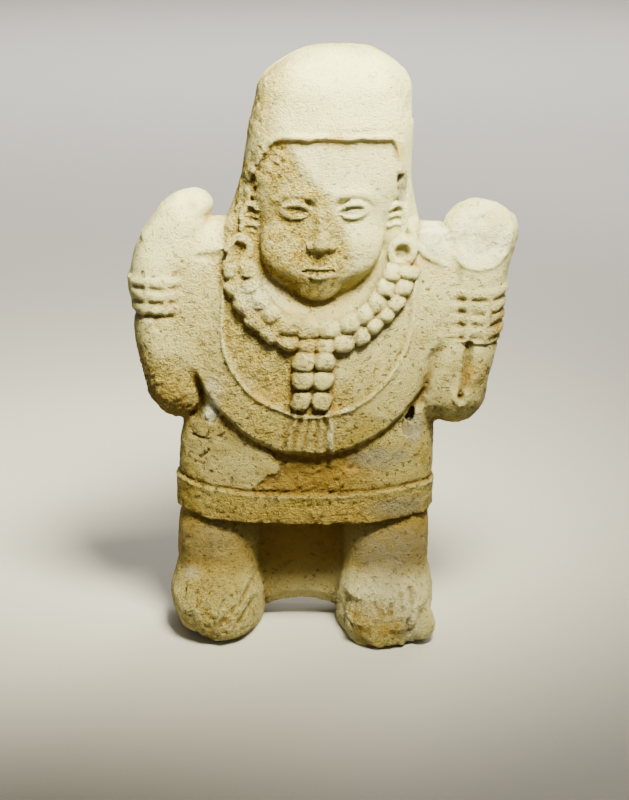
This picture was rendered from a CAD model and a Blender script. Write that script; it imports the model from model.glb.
"""Standing female figure of moulded and fired clay, shown on a plain pale floor.

The figure is worked as a modeller works clay. One block of samples holds, at each place, the distance to
the surface. Forms join it and cut it, low relief raises and sinks it, and weathering roughens it. Its skin
is then taken off as one mesh, which is dressed with a worn, crusted clay finish.

All sizes are millimetres of the upright figure. The lean of the moulding and the place on the ground are
put on at the end, when the mesh is made in metres. Left and right are the viewer's.
"""

import itertools
import logging
import math
from dataclasses import dataclass
from enum import Enum

import bpy
import numpy as np
import openvdb
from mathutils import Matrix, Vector


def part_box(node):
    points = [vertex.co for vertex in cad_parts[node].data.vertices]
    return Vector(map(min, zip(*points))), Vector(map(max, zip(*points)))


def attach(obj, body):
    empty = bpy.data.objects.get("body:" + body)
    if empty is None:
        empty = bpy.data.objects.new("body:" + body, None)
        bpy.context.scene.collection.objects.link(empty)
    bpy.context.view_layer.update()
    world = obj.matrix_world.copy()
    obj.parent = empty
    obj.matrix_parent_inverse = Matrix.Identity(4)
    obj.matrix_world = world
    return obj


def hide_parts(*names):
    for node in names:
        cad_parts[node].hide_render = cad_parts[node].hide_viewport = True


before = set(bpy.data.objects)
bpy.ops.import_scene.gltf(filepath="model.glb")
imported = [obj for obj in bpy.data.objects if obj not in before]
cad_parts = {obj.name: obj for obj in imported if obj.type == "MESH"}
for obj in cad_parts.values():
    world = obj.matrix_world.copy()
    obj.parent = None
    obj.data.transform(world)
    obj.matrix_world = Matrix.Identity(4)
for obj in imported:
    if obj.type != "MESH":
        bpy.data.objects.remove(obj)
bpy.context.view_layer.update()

log = logging.getLogger("figure")

Array = np.ndarray
Point = tuple[float, float, float]
Spot = tuple[float, float]
Colour = tuple[float, float, float, float]
Socket = bpy.types.NodeSocket

NODE = "standing_female_figure"

MM = 0.001
HEIGHT = 185.0
LEAN = 11.0
LEAN_CURVE = 1.7
FOOTPRINT_SHIFT = (-6.194, 4.979)
FACE_HEIGHT = 131.0
WEB_MIDDLE = -1.1

STEP = 0.4
BLOCK_CORNERS = ((-63.0, -33.0, -2.0), (64.0, 24.0, 187.0))
FAR = 8.0
WEATHERED_DEPTH = 1.7
MOST_TRIANGLES = 196_000

GRAIN_SEED = 1907
NECKLACE_SEED = 7
PENDANT_SEED = 11

CELL_CORNERS = tuple(itertools.product((0, 1), repeat=3))


class Side(Enum):
    """The viewer's left or right, as the sign of x."""

    LEFT = -1
    RIGHT = 1


class Patina(Enum):
    """What the weathering leaves on the clay. Each is a value from 0 to 1 at every point of the mesh."""

    CRUST = "crust"
    DIRT = "dirt"
    DEPOSIT = "deposit"
    STAIN = "stain"
    BARE = "bare"
    PIT = "pit"
    WORN = "worn"
    GREY = "grey"


def ramp(value: Array, start: float, end: float) -> Array:
    """A smooth step.

    Args:
        value: What is measured.
        start: The value at which the step is still 0.
        end: The value at which it has come to 1. It may be under start.

    Returns:
        The height of the step, from 0 to 1.
    """
    share = np.clip((value - start) / (end - start), 0.0, 1.0)
    return share * share * (3.0 - 2.0 * share)


def crest(value: Array, width: float) -> Array:
    """A rounded crest, 1 high where a value is 0 and almost gone where it is twice the width."""
    return np.exp(-((value / width) ** 2))


def soft_min(a: Array, b: Array, blend: float) -> Array:
    """The smaller of two distances, with the corner between them rounded over blend."""
    if blend <= 0:
        return np.minimum(a, b)
    share = np.clip(0.5 + 0.5 * (b - a) / blend, 0.0, 1.0)
    return b + (a - b) * share - blend * share * (1.0 - share)


def course(heights: Array, values: Array, at: Array) -> Array:
    """A smooth course through values.

    Args:
        heights: Rising heights, one for each value.
        values: The values that the course goes through.
        at: The heights at which it is read; outside the first and last it stays level.

    Returns:
        The value at each height of at.
    """
    slopes = np.gradient(values, heights)
    at = np.clip(at, heights[0], heights[-1])
    i = np.clip(np.searchsorted(heights, at) - 1, 0, len(heights) - 2)
    span = heights[i + 1] - heights[i]
    t = (at - heights[i]) / span
    rest = 1.0 - t
    ends = values[i] * (1 + 2 * t) * rest**2 + values[i + 1] * (3 - 2 * t) * t**2
    return ends + span * (slopes[i] * t * rest**2 - slopes[i + 1] * rest * t**2)


def smooth_path(points: list[Point], count: int) -> list[Point]:
    """A line of count points on a smooth course through a few points."""
    knots = np.array(points, float)
    heights = np.arange(len(knots), dtype=float)
    at = np.linspace(0, len(knots) - 1, count)
    return list(zip(*(course(heights, knots[:, axis], at) for axis in range(knots.shape[1]))))


def line_distance(x: Array, z: Array, points: list[Spot]) -> Array:
    """The distance from each place of a drawing to a line through points."""
    nearest = None
    for (ax, az), (bx, bz) in zip(points, points[1:]):
        dx, dz = bx - ax, bz - az
        t = np.clip(((x - ax) * dx + (z - az) * dz) / (dx * dx + dz * dz), 0.0, 1.0)
        away = np.hypot(x - ax - t * dx, z - az - t * dz)
        nearest = away if nearest is None else np.minimum(nearest, away)
    return nearest


def outline_distance(x: Array, z: Array, points: list[Spot]) -> Array:
    """The distance from each place of a drawing to a closed outline, under 0 inside it."""
    away = line_distance(x, z, [*points, points[0]])
    inside = np.zeros(np.broadcast(x, z).shape, bool)
    for (ax, az), (bx, bz) in zip(points, [*points[1:], points[0]]):
        crosses = (az > z) != (bz > z)
        inside ^= crosses & (x < ax + (z - az) * (bx - ax) / ((bz - az) or 1e-9))
    return np.where(inside, -away, away)


class Grain:
    """Seeded noise in space, the same on each run."""

    SIZE = 64
    TURN = np.array([[0.80, 0.48, -0.36], [-0.60, 0.64, -0.48], [0.0, 0.60, 0.80]], np.float32)
    LAYER_SHIFT = 17.3
    GAIN = 1.4

    def __init__(self, seed: int) -> None:
        """Draws the noise's lattice of values from the seed."""
        draw = np.random.default_rng(seed)
        self.values = (draw.random((self.SIZE,) * 3) * 2 - 1).astype(np.float32)

    def lumps(self, points: Array, length: float | Point) -> Array:
        """Smooth noise.

        Args:
            points: Places, one a row.
            length: How far apart its lumps are, on all axes or on each.

        Returns:
            A value from -1 to 1 for each place.
        """
        places = (points / np.asarray(length, np.float32)) @ self.TURN
        cell = np.floor(places)
        part = places - cell
        part = part * part * (3.0 - 2.0 * part)
        low = cell.astype(np.int32) & (self.SIZE - 1)
        high = (low + 1) & (self.SIZE - 1)
        total = np.zeros(len(points), np.float32)
        for sides in CELL_CORNERS:
            corner = np.where(sides, high, low)
            near = np.where(sides, part, 1.0 - part)
            share = near[:, 0] * near[:, 1] * near[:, 2]
            total += share * self.values[corner[:, 0], corner[:, 1], corner[:, 2]]
        return total

    def rough(self, points: Array, length: float | Point, layers: int, fade: float = 0.55) -> Array:
        """Several layers of smooth noise, each half as long as the one before and fainter by fade."""
        total, share, whole = 0.0, 1.0, 0.0
        for layer in range(layers):
            layer_points = points + self.LAYER_SHIFT * layer
            total = total + share * self.lumps(layer_points, np.asarray(length) / 2**layer)
            whole += share
            share *= fade
        return total / whole * self.GAIN


class Clay:
    """A block of evenly spaced samples of the distance to the surface, under 0 in the clay."""

    MARGIN = 4.0
    LEAST_STEEPNESS = 0.25

    def __init__(self, step: float, start: Array, field: Array) -> None:
        """Takes a field of samples and the index of its first sample from the figure's origin."""
        self.step = step
        self.start = start
        self.field = field
        x, y, z = ((start[axis] + np.arange(field.shape[axis])) * step for axis in range(3))
        self.x = x.astype(np.float32)[:, None, None]
        self.y = y.astype(np.float32)[None, :, None]
        self.z = z.astype(np.float32)[None, None, :]

    @classmethod
    def empty(cls, step: float, low: Point, high: Point) -> "Clay":
        """A block with no clay in it yet, between two corners."""
        start = np.floor(np.array(low) / step).astype(int)
        stop = np.ceil(np.array(high) / step).astype(int) + 1
        return cls(step, start, np.full(stop - start, FAR, np.float32))

    @classmethod
    def around(cls, step: float, form: "Form", room: float) -> "Clay":
        """A block with a form in it and some room around the form."""
        block = cls.empty(step, *form.reach(room))
        block.join(form.distance(block))
        return block

    def near(self, low: Point, high: Point) -> "Clay":
        """The part of the block between two corners, which shares its samples."""
        shape = np.array(self.field.shape)
        first = np.clip(np.floor(np.array(low) / self.step).astype(int) - self.start, 0, shape)
        last = np.clip(np.ceil(np.array(high) / self.step).astype(int) + 1 - self.start, 0, shape)
        part = self.field[first[0] : last[0], first[1] : last[1], first[2] : last[2]]
        return Clay(self.step, self.start + first, part)

    def join(self, distance: Array, blend: float = 0.0) -> None:
        """Adds a form by its distances."""
        self.field[...] = soft_min(self.field, distance, blend)

    def cut(self, distance: Array, blend: float = 0.0) -> None:
        """Cuts a form away by its distances."""
        self.field[...] = -soft_min(-self.field, distance, blend)

    def add(self, form: "Form", blend: float = 0.0) -> None:
        """Adds a form where it reaches."""
        part = self.near(*form.reach(blend + self.MARGIN))
        part.join(form.distance(part), blend)

    def take(self, form: "Form", blend: float = 0.0) -> None:
        """Cuts a form away where it reaches."""
        part = self.near(*form.reach(blend + self.MARGIN))
        part.cut(form.distance(part), blend)

    def merge(self, other: "Clay", blend: float = 0.0) -> None:
        """Joins the clay of another block of the same step, where the two overlap."""
        low = np.maximum(self.start, other.start)
        high = np.minimum(self.start + self.field.shape, other.start + other.field.shape)
        mine, theirs = (
            block.field[tuple(slice(a, b) for a, b in zip(low - block.start, high - block.start))]
            for block in (self, other)
        )
        mine[...] = soft_min(mine, theirs, blend)

    def emboss(self, relief: Array, from_y: float = 1.0, to_y: float = -4.0) -> None:
        """Raises the front by a drawing over x and z.

        Args:
            relief: Heights in the shape of the block's x and z, under 0 where it is sunk.
            from_y: The depth at which the drawing begins to show.
            to_y: The depth in front of which it shows in full.
        """
        self.field -= relief[:, None, :] * ramp(self.y, from_y, to_y)

    def plan(self) -> tuple[Array, Array]:
        """The x and z of a drawing over the block, a column and a row."""
        return self.x[:, :, 0], self.z[0]

    def squared(self, level: Array) -> Array:
        """A measure that is 0 on a surface, made into distances by dividing it by its own steepness."""
        slopes = np.gradient(level, self.step)
        steepness = np.sqrt(slopes[0] ** 2 + slopes[1] ** 2 + slopes[2] ** 2)
        return np.clip(level / np.maximum(steepness, self.LEAST_STEEPNESS), -FAR, FAR).astype(np.float32)

    def read(self, places: Array) -> Array:
        """The samples at places, one a row, smoothly between samples."""
        at = places / self.step - self.start
        low = np.clip(np.floor(at).astype(np.int32), 0, np.array(self.field.shape) - 2)
        part = np.clip(at - low, 0.0, 1.0)
        total = np.zeros(len(places), np.float32)
        for sides in CELL_CORNERS:
            near = np.where(sides, part, 1.0 - part)
            corner = low + np.array(sides, np.int32)
            value = self.field[corner[:, 0], corner[:, 1], corner[:, 2]]
            total += near[:, 0] * near[:, 1] * near[:, 2] * value
        return total

    def softened(self, length: float) -> "Clay":
        """A copy blurred over a length, for telling hollows from ridges."""
        half = max(1, round(length / self.step / 2))
        blurred = np.clip(self.field, -length, length)
        for axis in (0, 1, 2, 0, 1, 2):
            blurred = box_blur(blurred, half, axis)
        return Clay(self.step, self.start, blurred)


def box_blur(values: Array, half: int, axis: int) -> Array:
    """The mean of each sample and half as many on either side of it, along one axis."""
    pads = [(half + 1, half) if a == axis else (0, 0) for a in range(values.ndim)]
    total = np.cumsum(np.pad(values, pads, mode="edge"), axis=axis, dtype=np.float64)
    count = values.shape[axis]
    high = np.take(total, np.arange(2 * half + 1, 2 * half + 1 + count), axis=axis)
    low = np.take(total, np.arange(count), axis=axis)
    return ((high - low) / (2 * half + 1)).astype(np.float32)


class Form:
    """A solid form that can join the clay or be cut from it."""

    def reach(self, room: float) -> tuple[Point, Point]:
        """The lowest and highest corners of the form, with some room around it."""
        raise NotImplementedError

    def distance(self, clay: Clay) -> Array:
        """The distance from each sample of the clay to the form."""
        raise NotImplementedError


@dataclass(frozen=True)
class Key:
    """The level section of a column at a height: its middle, half width, and reach to -Y and +Y."""

    z: float
    half_width: float
    front: float
    back: float
    x: float = 0.0


@dataclass(frozen=True)
class Column(Form):
    """An upright form of squared oval sections, rounded over some height at its ends."""

    keys: tuple[Key, ...]
    low: float
    high: float
    round_low: float = 0.0
    round_high: float = 0.0
    squareness: float = 2.4

    def section(self, z: Array) -> tuple[Array, Array, Array, Array, Array]:
        """The middle, half width, front and back at each height, and how far an end has rounded off there."""
        heights = np.array([key.z for key in self.keys])
        low = (z - self.low) / self.round_low if self.round_low else np.ones_like(z)
        high = (self.high - z) / self.round_high if self.round_high else np.ones_like(z)
        short = np.maximum(1.0 - np.minimum(low, high), 0.0)
        columns = zip(*((key.x, key.half_width, key.front, key.back) for key in self.keys))
        return *(course(heights, np.array(column), z) for column in columns), short

    def reach(self, room: float) -> tuple[Point, Point]:
        """The lowest and highest corners of the form, with some room around it."""
        left = min(key.x - key.half_width for key in self.keys)
        right = max(key.x + key.half_width for key in self.keys)
        front = max(key.front for key in self.keys)
        back = max(key.back for key in self.keys)
        return (left - room, -front - room, self.low - room), (right + room, back + room, self.high + room)

    def distance(self, clay: Clay) -> Array:
        """The distance from each sample of the clay to the form."""
        z = clay.z.ravel().astype(float)
        middle, half, front, back, short = (part.astype(np.float32) for part in self.section(z))
        across = (np.abs(clay.x - middle) / half) ** self.squareness
        along = (np.abs(clay.y) / np.where(clay.y < 0, front, back)) ** self.squareness
        level = np.sqrt((across + along) ** (2.0 / self.squareness) + short**2) - 1.0
        level *= np.minimum(half, (front + back) / 2)
        if not self.round_low:
            level = np.maximum(level, self.low - clay.z)
        if not self.round_high:
            level = np.maximum(level, clay.z - self.high)
        return clay.squared(level)

    def front(self, x: float, z: float) -> float:
        """The y of the front of the form at a place seen from the front."""
        middle, half, front, _, short = (float(part[0]) for part in self.section(np.array([z], float)))
        end = math.sqrt(max(0.05, 1 - short**2))
        share = min(0.995, abs(x - middle) / half / end)
        return -front * end * (1 - share**self.squareness) ** (1 / self.squareness)


@dataclass(frozen=True)
class Lump(Form):
    """An oval of half sizes about a middle."""

    middle: Point
    sizes: Point

    def reach(self, room: float) -> tuple[Point, Point]:
        """The lowest and highest corners of the form, with some room around it."""
        low = tuple(m - h - room for m, h in zip(self.middle, self.sizes))
        return low, tuple(m + h + room for m, h in zip(self.middle, self.sizes))

    def distance(self, clay: Clay) -> Array:
        """The distance from each sample of the clay to the form."""
        x, y, z = clay.x - self.middle[0], clay.y - self.middle[1], clay.z - self.middle[2]
        a, b, c = self.sizes
        near = np.sqrt((x / a) ** 2 + (y / b) ** 2 + (z / c) ** 2)
        steep = np.sqrt((x / a**2) ** 2 + (y / b**2) ** 2 + (z / c**2) ** 2)
        return near * (near - 1.0) / np.maximum(steep, 1e-4)


@dataclass(frozen=True)
class Rod(Form):
    """A round rod along a line of points, with a radius at each."""

    points: tuple[Point, ...]
    radii: tuple[float, ...]

    @classmethod
    def along(cls, points: list[Point], radii: list[float], count: int = 10) -> "Rod":
        """A rod on a smooth course through a few points."""
        line = smooth_path([(*point, radius) for point, radius in zip(points, radii)], count)
        return cls(tuple(entry[:3] for entry in line), tuple(entry[3] for entry in line))

    def reach(self, room: float) -> tuple[Point, Point]:
        """The lowest and highest corners of the form, with some room around it."""
        room += max(self.radii)
        axes = list(zip(*self.points))
        return tuple(min(axis) - room for axis in axes), tuple(max(axis) + room for axis in axes)

    def distance(self, clay: Clay) -> Array:
        """The distance from each sample of the clay to the form."""
        nearest = None
        ends = zip(self.points, self.points[1:], self.radii, self.radii[1:])
        for (ax, ay, az), (bx, by, bz), near, far in ends:
            dx, dy, dz = bx - ax, by - ay, bz - az
            length = dx * dx + dy * dy + dz * dz
            t = ((clay.x - ax) * dx + (clay.y - ay) * dy + (clay.z - az) * dz) / length
            t = np.clip(t, 0.0, 1.0)
            away = (clay.x - ax - t * dx) ** 2 + (clay.y - ay - t * dy) ** 2 + (clay.z - az - t * dz) ** 2
            away = np.sqrt(away) - (near + (far - near) * t)
            nearest = away if nearest is None else np.minimum(nearest, away)
        return nearest


def on_plane(x: Array, z: Array, y: float = 0.0) -> Array:
    """The places of a drawing on an upright plane at a depth, one a row."""
    return np.stack([x.ravel(), np.full(x.size, y), z.ravel()], axis=1).astype(np.float32)


def hand_drawn(clay: Clay, grain: Grain, amount: float, length: float) -> tuple[Array, Array]:
    """The x and z of a drawing over the clay, shifted a little here and there as by an unsure hand."""
    x, z = np.broadcast_arrays(*clay.plan())
    places = on_plane(x, z)
    aside = grain.rough(places, length, 2).reshape(x.shape)
    up = grain.rough(places + 51.7, length, 2).reshape(x.shape)
    return x + amount * aside, z + amount * up


@dataclass
class Robe:
    """The body in its robe, with the banded hem, the round cape and the jewellery on it."""

    low: float = 37.5
    high: float = 131.0
    band_top: float = 46.7
    band_step: float = 0.6
    cape_low: float = 59.6
    cape_middle: Spot = (0.8, 102.6)
    cape_sizes: Spot = (42.4, 43.4)
    cape_squareness: float = 1.82
    cape_step: float = 1.9
    line_middle: Spot = (0.4, 102.6)
    line_radius: float = 29.2
    necklace_middle: Spot = (0.4, 123.2)
    outer_radius: float = 27.9
    inner_radius: float = 23.1
    outer_turns: tuple[float, ...] = (
        -79, -68, -56, -43.5, -30.5, -18, -5.8, 6.2, 17.6, 29.2, 39.7, 49.2, 58.3, 67.6, 77,
    )
    inner_turns: tuple[float, ...] = (-77, -65, -51.5, -38, -22.5, -6, 9.2, 24.2, 37.7, 50.5, 62.7, 74.5)
    bead_width: float = 5.3
    bead_squareness: float = 2.7
    pendant_x: float = 0.1
    pendant_rows: Point = (91.0, 84.6, 78.5)
    tassel_top: float = 75.2

    def column(self) -> Column:
        """The plain robe."""
        keys = (
            Key(self.low, 40.1, 17.5, 17.5, -0.4),
            Key(self.cape_low, 40.1, 18.0, 17.5, -0.4),
            Key(80.0, 37.9, 19.0, 17.5),
            Key(102.0, 36.9, 17.5, 17.5),
            Key(self.high, 34.0, 13.0, 15.0),
        )
        return Column(keys, self.low, self.high, round_high=13.0, squareness=2.6)

    def build(self, clay: Clay, grain: Grain) -> None:
        """Adds the robe to the clay, with all that lies on its front."""
        block = Clay.around(clay.step, self.column(), Clay.MARGIN)
        block.field -= self.band(block, grain)
        block.emboss(self.relief(block, grain))
        back = ramp(block.y, -2.0, 1.0) * (self.cape_step - 0.3)
        block.field -= back * ramp(block.z, self.cape_low + 11.4, self.cape_low + 12.4)
        swing = 1.6 * ramp(np.abs(block.x), 22.0, 42.0) + 0.6 * ramp(block.x, -30.0, -40.0)
        block.cut(block.z - self.low - swing, 0.7)
        clay.merge(block)

    def band(self, block: Clay, grain: Grain) -> Array:
        """The raised hem band that goes all round, a little higher at the sides, with a groove above it."""
        across = block.x.ravel()
        wave = 0.3 * grain.rough(on_plane(across, across * 0), 11.0, 3) + 1.2 * (across / 29.0) ** 2
        wave += 1.0 * ramp(across, -30.0, -41.0) - 0.5 * ramp(across, 34.0, 41.0)
        z = block.z - wave[:, None, None]
        raised = self.band_step * ramp(z, self.band_top + 0.2, self.band_top - 0.4)
        rim = 0.25 * crest(z - self.band_top + 0.6, 0.5)
        groove = 0.45 * crest(z - self.band_top - 0.8, 0.5)
        return raised + rim - groove

    def relief(self, block: Clay, grain: Grain) -> Array:
        """The drawing of the front: cape, collar line, hollow of the neck, beads, pendant and tassel."""
        x, z = hand_drawn(block, grain, 0.4, 10.0)
        height = self.cape(x, z)
        x, z = hand_drawn(block, grain, 0.7, 5.0)
        height = self.necklace(x, z, height)
        height = np.maximum(height, self.tassel(x, z, height))
        return np.maximum(height, self.pendant(x, z))

    def cape(self, x: Array, z: Array) -> Array:
        """The round cape with its thick edge, the ridge round its sunken collar and the neck's hollow."""
        across = np.abs(x - self.cape_middle[0]) / self.cape_sizes[0]
        below = np.maximum(self.cape_middle[1] - z, 0.0) / self.cape_sizes[1]
        out = (across**self.cape_squareness + below**self.cape_squareness) ** (1 / self.cape_squareness)
        edge = (out - 1.0) * self.cape_sizes[1]
        height = self.cape_step * ramp(edge, 0.4, -1.8) - 0.5 * ramp(edge, 3.5, 0.4) * (edge > -0.2)
        line = np.hypot(x - self.line_middle[0], np.minimum(z - self.line_middle[1], 0.0)) - self.line_radius
        height += 0.85 * crest(line, 0.75) * ramp(z, 124.0, 112.0)
        height -= 0.75 * ramp(line, 0.3, -0.7)
        middle, level = self.necklace_middle
        throat = np.hypot(x - middle, np.minimum(z - level, 0.0) * 1.02)
        return height - 7.0 * ramp(throat, 22.0, 14.5)

    def bead(self, x: Array, z: Array, middle: Spot, size: Spot, turn: float, rise: float) -> Array:
        """One worn square bead, domed, turned about its middle."""
        cos, sin = math.cos(turn), math.sin(turn)
        across = (x - middle[0]) * cos + (z - middle[1]) * sin
        along = (z - middle[1]) * cos - (x - middle[0]) * sin
        power = self.bead_squareness
        spread = (np.abs(across / size[0] * 2) ** power + np.abs(along / size[1] * 2) ** power) ** (1 / power)
        return rise * np.clip(1.0 - spread**1.9, 0.0, 1.0) ** 0.62

    def necklace(self, x: Array, z: Array, ground: Array) -> Array:
        """Both rows of beads, close together on a low cord."""
        draw = np.random.default_rng(NECKLACE_SEED)
        middle, level = self.necklace_middle
        around = np.hypot(x - middle, np.minimum(z - level, 0.0))
        ends = ramp(z, level - 2.0, level - 6.0)
        clogged = 1.3 * ramp(x, -3.0, -12.0)
        cord = (self.cape_step + 0.7 + clogged) * ramp(around, 19.9, 21.3) * ramp(around, 30.2, 28.6) * ends
        height = np.where(cord > 0.02, np.maximum(ground, cord - 3.0 * (1 - ends)), ground)
        rows = ((self.outer_radius, self.outer_turns, 0.0), (self.inner_radius, self.inner_turns, 0.5))
        for radius, turns, lift in rows:
            for i, angle in enumerate(turns):
                near = [abs(turns[j] - angle) for j in (i - 1, i + 1) if 0 <= j < len(turns)]
                pitch = math.radians(sum(near) / len(near)) * radius
                turn = math.radians(angle)
                place = (middle + radius * math.sin(turn), level - radius * math.cos(turn))
                size = (pitch * draw.uniform(1.05, 1.2), self.bead_width * draw.uniform(1.02, 1.16))
                rise = draw.uniform(2.0, 2.6)
                dome = self.bead(x, z, place, size, turn + draw.normal(0, 0.16), rise)
                height = np.maximum(height, np.where(dome > 0, self.cape_step + 0.5 + lift + dome, -FAR))
        return height

    def pendant(self, x: Array, z: Array) -> Array:
        """The paired beads that hang from the necklace."""
        draw = np.random.default_rng(PENDANT_SEED)
        height = np.full(x.shape, -FAR, np.float32)
        for row, level in enumerate(self.pendant_rows):
            for side in Side:
                spread = 2.95 + 0.15 * row
                middle = (self.pendant_x - 0.1 * row + side.value * spread, level + draw.normal(0, 0.2))
                size = (6.4 * draw.uniform(0.96, 1.08), 6.6 * draw.uniform(0.96, 1.06) - 0.3 * row)
                dome = self.bead(x, z, middle, size, draw.normal(0, 0.17), 3.2 * draw.uniform(0.92, 1.1))
                height = np.maximum(height, np.where(dome > 0, self.cape_step + 0.3 + dome, -FAR))
        return height

    def tassel(self, x: Array, z: Array, ground: Array) -> Array:
        """The fan of strands below the pendant, with a ridge down each side."""
        down = (self.tassel_top - z) / (self.tassel_top - self.cape_low)
        half = 5.4 + 2.4 * np.clip(down, 0, 1)
        across = (x - self.pendant_x - 0.2) / half
        shown = ramp(np.abs(across), 1.12, 0.98) * ramp(down, -0.1, 0.02) * ramp(down, 1.0, 0.86)
        ridge = 0.9 * crest(np.abs(across) - 0.93, 0.1)
        strands = 0.42 * np.cos(across * math.pi * 4.6) * ramp(down, 0.0, 0.25)
        return ground + shown * (0.5 + ridge + strands)


@dataclass
class Head:
    """The head with its face, its open head-cloth, its ears and their spools."""

    chin: float = 107.5
    hairline: float = 158.0
    half_width: float = 22.0
    depth: float = 18.5
    cloth_low: float = 114.0
    cloth_half_width: float = 25.4
    cloth_front: float = 22.0
    cloth_back: float = 19.0
    opening_half_width: float = 20.5
    ear_height: float = 134.5
    spool_places: tuple[Spot, Spot] = ((-25.0, 124.1), (24.7, 123.3))
    spool_radius: float = 4.3
    spool_depth: float = 12.0
    comb: float = 1.35

    @property
    def third(self) -> float:
        """A third of the face's height, from the chin to the hairline."""
        return (self.hairline - self.chin) / 3

    def skull(self) -> Column:
        """The plain oval of the face."""
        back = 10.0
        keys = (
            Key(self.chin, 15.0, self.depth, back),
            Key(self.chin + 13.0, 19.0, self.depth, back),
            Key(self.chin + 26.0, self.half_width, self.depth, back),
            Key(145.0, self.half_width + 3.0, self.depth + 1.5, back),
            Key(self.hairline + 4.0, self.half_width + 2.8, self.depth + 2.9, back),
        )
        return Column(keys, self.chin, self.hairline + 4.0, round_low=13.0, squareness=2.9)

    def cloth(self) -> Column:
        """The head-cloth before it is opened over the face."""
        wide, front, back = self.cloth_half_width, self.cloth_front, self.cloth_back
        keys = (
            Key(self.cloth_low, wide + 11.0, 0.32 * front, 1.085 * back),
            Key(125.3, wide + 6.6, 0.5 * front, 1.075 * back),
            Key(self.ear_height, wide + 3.3, 0.64 * front, 1.06 * back),
            Key(150.0, wide, 0.95 * front, back),
            Key(self.hairline, 0.985 * wide, front, back),
            Key(171.0, 0.925 * wide, 0.955 * front, 0.945 * back),
            Key(HEIGHT, 0.905 * wide, 0.91 * front, 0.895 * back),
        )
        return Column(keys, self.cloth_low, HEIGHT, round_high=14.0, squareness=3.1)

    def build(self, clay: Clay, grain: Grain) -> None:
        """Adds the head to the clay."""
        head = Clay.around(clay.step, self.skull(), 7.5)
        self.add_eyes(head)
        self.add_nose(head)
        self.add_mouth(head)
        clay.merge(head, 2.5)
        cloth = Clay.around(clay.step, self.cloth(), Clay.MARGIN)
        self.shape_cloth(cloth, grain)
        clay.merge(cloth, 1.2)
        for side in Side:
            self.add_ear(clay, side)
            self.sink_temple(clay, side)
        for place in self.spool_places:
            self.add_spool(clay, place)

    def opening(self) -> list[Spot]:
        """The outline of the cloth's opening, seen from the front."""
        half, top, low = self.opening_half_width, self.hairline, self.cloth_low - 4.0
        right = [(half - 2.6, top + 0.4), (half - 0.9, top - 1.2), (half + 0.2, top - 4.0)]
        right += [(half + 1.4, 141.3), (half + 5.6, 124.0), (half + 8.5, low)]
        left = [(-half + 4.0, top + 0.2), (-half + 1.6, top - 2.2), (-half - 0.4, top - 6.5)]
        left += [(-half - 1.6, 147.0), (-half - 2.4, 138.0), (-half - 5.6, 124.0), (-half - 8.5, low)]
        return [*right, *reversed(left)]

    def shape_cloth(self, block: Clay, grain: Grain) -> None:
        """Flattens the crown, combs the flank and opens the cloth over the face, with a rolled edge."""
        for lean, reach in ((-0.66, 191.3), (0.68, 192.0), (0.0, 184.9)):
            slope = math.hypot(lean, 1.0)
            block.cut(-(block.x * lean + block.z - reach) / slope, 2.5)
        around = block.x - (block.y + self.cloth_front) * 0.35
        flank = ramp(around, 11.0, 17.0) * ramp(block.y, 14.0, 2.0)
        flank = flank * ramp(block.z, 112.0, 126.0) * ramp(block.z, 182.0, 172.0)
        block.field += 0.13 * flank * (1.0 + np.cos(around * 2 * math.pi / self.comb))
        x, z = hand_drawn(block, grain, 0.6, 3.5)
        mouth = outline_distance(x, z, self.opening())
        block.cut(np.maximum(mouth[:, None, :], block.y), 0.9)
        roll = 0.5 * crest(mouth - 0.8, 0.8) * ramp(z, 138.0, 150.0)
        block.emboss(roll - 0.25 * crest(mouth - 2.6, 0.8) * ramp(z, 150.0, 156.0))

    def add_eyes(self, head: Clay) -> None:
        """Two calm almond eyes, a fifth of the face wide each, under low level brows."""
        skull = self.skull()
        fifth = 2 * self.half_width / 5
        level = self.chin + 1.74 * self.third
        for side in Side:
            x = side.value * fifth
            front = skull.front(x, level)

            def on_face(across: float, up: float, out: float) -> Point:
                """A place by the eye: across from its middle to the outer side, up, and out of the face."""
                place = (x + side.value * across, level + up)
                return (place[0], skull.front(*place) - out, place[1])

            def line(points: list[Point]) -> list[Point]:
                """Such places for several points."""
                return [on_face(*point) for point in points]

            head.take(Lump((x + side.value * 0.1, front - 2.1, level + 0.5), (5.9, 2.6, 3.9)), 3.0)
            head.add(Lump((x, front + 1.4, level), (4.7, 2.2, 3.0)), 0.9)
            head.take(Lump((x, front - 1.3, level), (4.0, 1.6, 1.9)), 0.3)
            head.add(Lump((x, front + 1.7, level), (3.7, 2.3, 2.3)), 0.2)
            upper = line([
                (-4.9, -0.5, -0.7), (-2.6, 1.6, 0.35), (0.0, 2.3, 0.7), (2.7, 1.7, 0.4), (4.9, -0.3, -0.6),
            ])
            lower = line([(-4.6, -0.7, -0.7), (-1.9, -1.9, 0.3), (1.4, -1.95, 0.3), (4.7, -0.5, -0.6)])
            brow = line([(-5.0, 4.6, -0.9), (-2.2, 5.2, -0.5), (1.6, 5.2, -0.5), (5.6, 3.2, -1.1)])
            head.add(Rod.along(upper, [0.45, 0.7, 0.8, 0.7, 0.4]), 0.4)
            head.add(Rod.along(lower, [0.4, 0.5, 0.5, 0.35]), 0.5)
            head.add(Rod.along(brow, [1.0, 1.3, 1.2, 0.8]), 2.2)

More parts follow.
